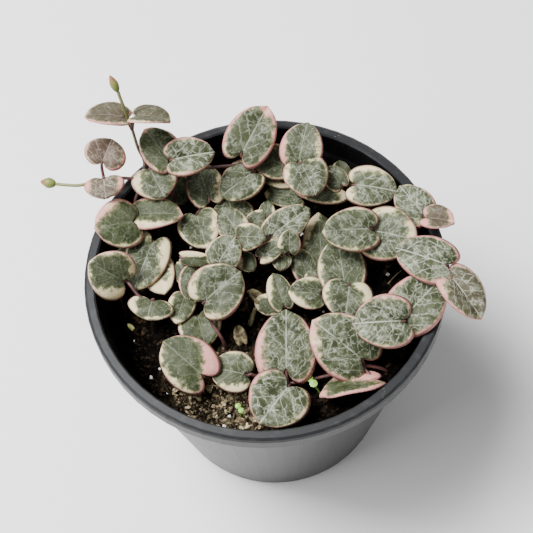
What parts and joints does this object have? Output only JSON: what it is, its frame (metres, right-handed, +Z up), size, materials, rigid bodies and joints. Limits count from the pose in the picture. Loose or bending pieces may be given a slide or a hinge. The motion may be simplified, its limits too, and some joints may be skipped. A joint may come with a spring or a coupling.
{
  "type": "potted trailing succulent",
  "caption": "Variegated string of hearts with small heart-shaped marbled leaves on thin stems, growing in a round black nursery pot of soil.",
  "frame": {"origin": "centre of the pot's flat underside", "axes": "+Z up along the pot's axis, -Y towards the viewer, +X to the right in the picture"},
  "size_m": [0.1254, 0.11, 0.1202],
  "materials": {
    "pot": "satin black",
    "soil": "moist crumbly potting mix",
    "leaf": "smooth fleshy leaf, grey-green with silver, cream and pink",
    "sprout": "soft green seed leaves"
  },
  "bodies": {
    "root": {"pot": "pot", "soil": "soil", "shoot_back_left": "leaf", "shoot_left": "leaf", "vine_back": "leaf", "vine_under_back": "leaf", "vine_back_pair": "leaf", "vine_back_right": "leaf", "vine_right_back": "leaf", "vine_rim_right": "leaf", "vine_right_pair": "leaf", "vine_rim_low": "leaf", "vine_low_right": "leaf", "vine_left": "leaf", "vine_left_inner": "leaf", "vine_low_left": "leaf", "vine_over_soil": "leaf", "vine_dark": "leaf", "leaf_front_left": "leaf", "leaf_front": "leaf", "vine_mid_left": "leaf", "rosette": "leaf", "vine_shaded": "leaf", "vine_centre": "leaf", "vine_mid_right": "leaf", "vine_shaded_right": "leaf", "vine_mid": "leaf", "vine_front": "leaf", "seedling_front": "sprout", "seedling_right": "sprout"}
  },
  "joints": []
}
